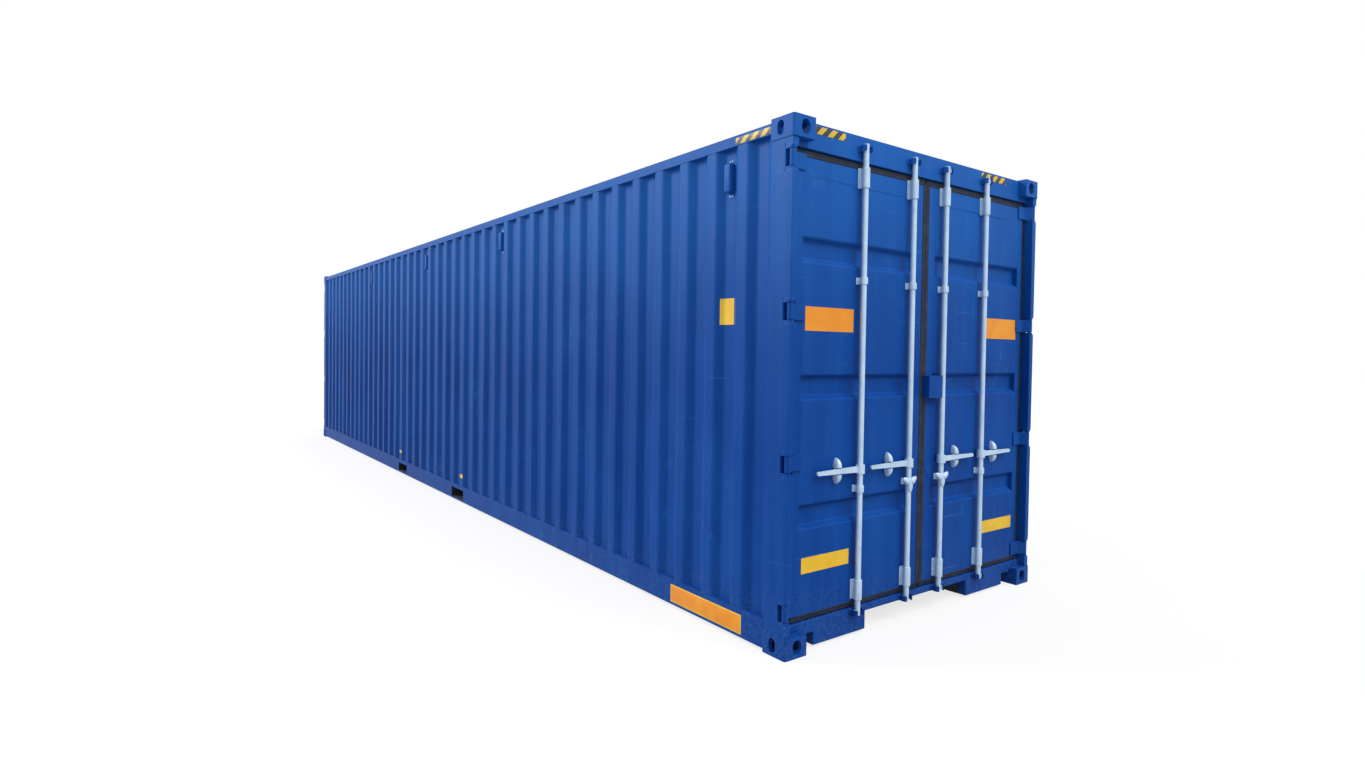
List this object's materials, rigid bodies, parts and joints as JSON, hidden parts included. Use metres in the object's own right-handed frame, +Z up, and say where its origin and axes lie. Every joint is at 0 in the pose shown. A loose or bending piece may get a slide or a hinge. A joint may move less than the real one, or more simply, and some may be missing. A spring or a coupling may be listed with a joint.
{
  "type": "forty-foot high-cube shipping container",
  "caption": "Corrugated steel freight container with hinged doors, turning lock rods, fork pockets and a gooseneck tunnel under the door end.",
  "frame": {"origin": "on the ground, under the middle of the container", "axes": "+X along the container towards the end with the gooseneck tunnel, +Y across it towards the right door, +Z up"},
  "size_m": [12.192, 2.438, 2.896],
  "materials": {
    "painted_steel": "semi-gloss marine paint",
    "underside_steel": "black underbody coating",
    "galvanised_steel": "hot-dip galvanised, weathered",
    "gasket_rubber": "matt extruded rubber",
    "floor_boards": "oiled plywood"
  },
  "bodies": {
    "container": {"bottom_rails": "painted_steel", "cross_members": "underside_steel", "far_bottom_castings": "painted_steel", "far_door_frames": "painted_steel", "far_door_panels": "painted_steel", "far_gaskets": "gasket_rubber", "far_handle_catches": "galvanised_steel", "far_handles": "galvanised_steel", "far_header": "painted_steel", "far_hinge_blades": "painted_steel", "far_hinge_lugs": "painted_steel", "far_keepers": "galvanised_steel", "far_posts": "painted_steel", "far_rod_bearings": "galvanised_steel", "far_rods": "galvanised_steel", "far_sill": "painted_steel", "far_top_castings": "painted_steel", "floor": "floor_boards", "fork_pockets": "underside_steel", "gooseneck_tunnel": "underside_steel", "left_side_wall": "painted_steel", "near_bottom_castings": "painted_steel", "near_header": "painted_steel", "near_hinge_lugs": "painted_steel", "near_keepers": "galvanised_steel", "near_posts": "painted_steel", "near_sill": "painted_steel", "near_top_castings": "painted_steel", "right_side_wall": "painted_steel", "roof": "painted_steel", "top_rails": "painted_steel", "ventilators": "painted_steel"},
    "left_leaf": {"left_door_frame": "painted_steel", "left_door_panel": "painted_steel", "left_gasket": "gasket_rubber", "left_handle_catches": "galvanised_steel", "left_hinge_blades": "painted_steel", "left_rod_bearings": "galvanised_steel"},
    "right_leaf": {"lock_box": "painted_steel", "right_door_frame": "painted_steel", "right_door_panel": "painted_steel", "right_gasket": "gasket_rubber", "right_handle_catches": "galvanised_steel", "right_hinge_blades": "painted_steel", "right_rod_bearings": "galvanised_steel"},
    "left_outer_lock_rod": {"left_outer_rod": "galvanised_steel", "left_outer_handle": "galvanised_steel"},
    "left_inner_lock_rod": {"left_inner_rod": "galvanised_steel", "left_inner_handle": "galvanised_steel"},
    "right_outer_lock_rod": {"right_outer_rod": "galvanised_steel", "right_outer_handle": "galvanised_steel"},
    "right_inner_lock_rod": {"right_inner_rod": "galvanised_steel", "right_inner_handle": "galvanised_steel"}
  },
  "joints": [
    {"name": "left_door_hinge", "type": "hinge", "parent": "container", "child": "left_leaf", "pos_m": [6.068, -1.195, 0], "axis": [0, 0, -1], "range_deg": [0, 260]},
    {"name": "right_door_hinge", "type": "hinge", "parent": "container", "child": "right_leaf", "pos_m": [6.068, 1.195, 0], "axis": [0, 0, 1], "range_deg": [0, 260]},
    {"name": "left_outer_rod_turn", "type": "hinge", "parent": "left_leaf", "child": "left_outer_lock_rod", "pos_m": [6.066, -0.615, 0], "axis": [0, 0, -1], "range_deg": [-105, 0]},
    {"name": "left_inner_rod_turn", "type": "hinge", "parent": "left_leaf", "child": "left_inner_lock_rod", "pos_m": [6.066, -0.165, 0], "axis": [0, 0, -1], "range_deg": [-105, 0]},
    {"name": "right_outer_rod_turn", "type": "hinge", "parent": "right_leaf", "child": "right_outer_lock_rod", "pos_m": [6.066, 0.615, 0], "axis": [0, 0, 1], "range_deg": [-105, 0]},
    {"name": "right_inner_rod_turn", "type": "hinge", "parent": "right_leaf", "child": "right_inner_lock_rod", "pos_m": [6.066, 0.165, 0], "axis": [0, 0, 1], "range_deg": [-105, 0]}
  ]
}
